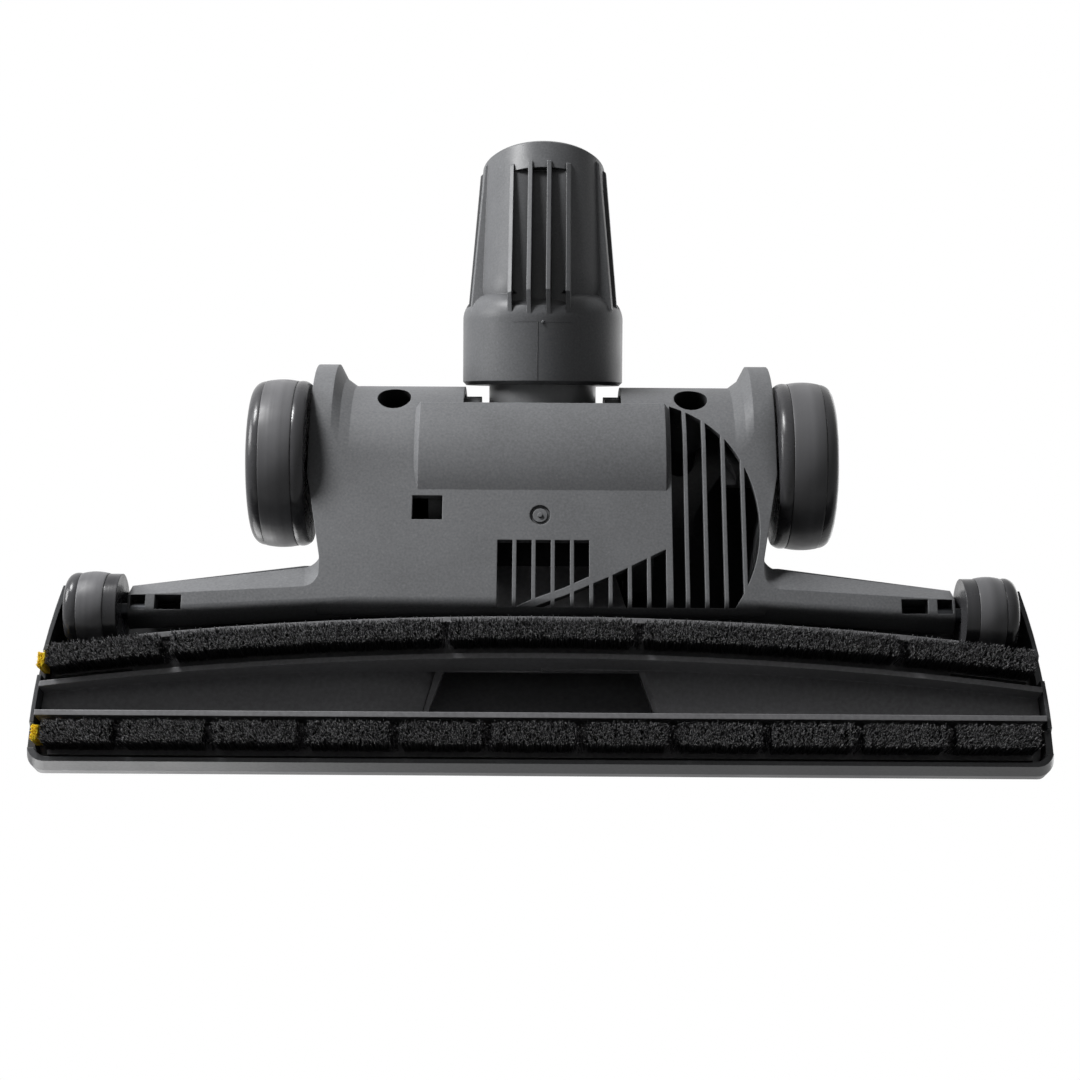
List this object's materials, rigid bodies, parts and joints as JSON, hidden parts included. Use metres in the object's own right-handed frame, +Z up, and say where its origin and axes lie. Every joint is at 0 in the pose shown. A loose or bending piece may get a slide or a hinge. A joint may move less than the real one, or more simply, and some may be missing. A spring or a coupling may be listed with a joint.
{
  "type": "vacuum floor brush head",
  "caption": "Wide vacuum cleaner floor head with bristle strips round a suction channel, support wheels and a tilting, swivelling neck with a finned wand socket.",
  "frame": {"origin": "on the floor under the middle of the bounding box, wheels down", "axes": "+X to the left side of the head, +Y to the rear along the wand socket, +Z up"},
  "size_m": [0.2836, 0.1968, 0.071],
  "materials": {
    "textured_plastic": "fine spark texture",
    "sole_plastic": "smooth satin",
    "cover_plastic": "smooth satin",
    "barrel_plastic": "satin",
    "neck_plastic": "satin",
    "wheel_plastic": "semi gloss",
    "tread_rubber": "matt",
    "bristle": "nylon filaments",
    "yellow_bristle": "nylon filaments",
    "foam": "cellular foam",
    "black_steel": "blackened"
  },
  "bodies": {
    "head": {"sole_plate": "sole_plastic", "top_cover": "cover_plastic", "rear_base": "textured_plastic", "suction_duct": "sole_plastic", "barrel_seal": "foam", "front_brush_carrier": "sole_plastic", "front_bristles": "bristle", "rear_brush_carrier": "sole_plastic", "rear_bristles": "bristle", "edge_tufts": "yellow_bristle", "housing_screws": "black_steel", "rear_axle_left": "black_steel", "rear_axle_right": "black_steel", "front_axle_left": "black_steel", "front_axle_right": "black_steel"},
    "barrel": {"pivot_barrel": "barrel_plastic", "swivel_ring": "sole_plastic"},
    "tube": {"wand_tube": "neck_plastic"},
    "rear_wheel_left": {"rear_wheel_hub_left": "wheel_plastic", "rear_tread_left": "tread_rubber"},
    "rear_wheel_right": {"rear_wheel_hub_right": "wheel_plastic", "rear_tread_right": "tread_rubber"},
    "front_wheel_left": {"front_wheel_hub_left": "wheel_plastic", "front_tread_left": "tread_rubber"},
    "front_wheel_right": {"front_wheel_hub_right": "wheel_plastic", "front_tread_right": "tread_rubber"}
  },
  "joints": [
    {"name": "neck_tilt", "type": "hinge", "parent": "head", "child": "barrel", "pos_m": [0, -0.0042, 0.0415], "axis": [1, 0, 0], "range_deg": [0, 70]},
    {"name": "neck_swivel", "type": "hinge", "parent": "barrel", "child": "tube", "pos_m": [0, 0.0543, 0.0236], "axis": [0, 0.9135, -0.4067], "continuous": true},
    {"name": "rear_wheel_left_spin", "type": "hinge", "parent": "head", "child": "rear_wheel_left", "pos_m": [0.0783, -0.001, 0.025], "axis": [1, 0, 0], "continuous": true},
    {"name": "rear_wheel_right_spin", "type": "hinge", "parent": "head", "child": "rear_wheel_right", "pos_m": [-0.0783, -0.001, 0.025], "axis": [1, 0, 0], "continuous": true},
    {"name": "front_wheel_left_spin", "type": "hinge", "parent": "head", "child": "front_wheel_left", "pos_m": [0.1254, -0.0522, 0.011], "axis": [1, 0, 0], "continuous": true},
    {"name": "front_wheel_right_spin", "type": "hinge", "parent": "head", "child": "front_wheel_right", "pos_m": [-0.1254, -0.0522, 0.011], "axis": [1, 0, 0], "continuous": true}
  ]
}
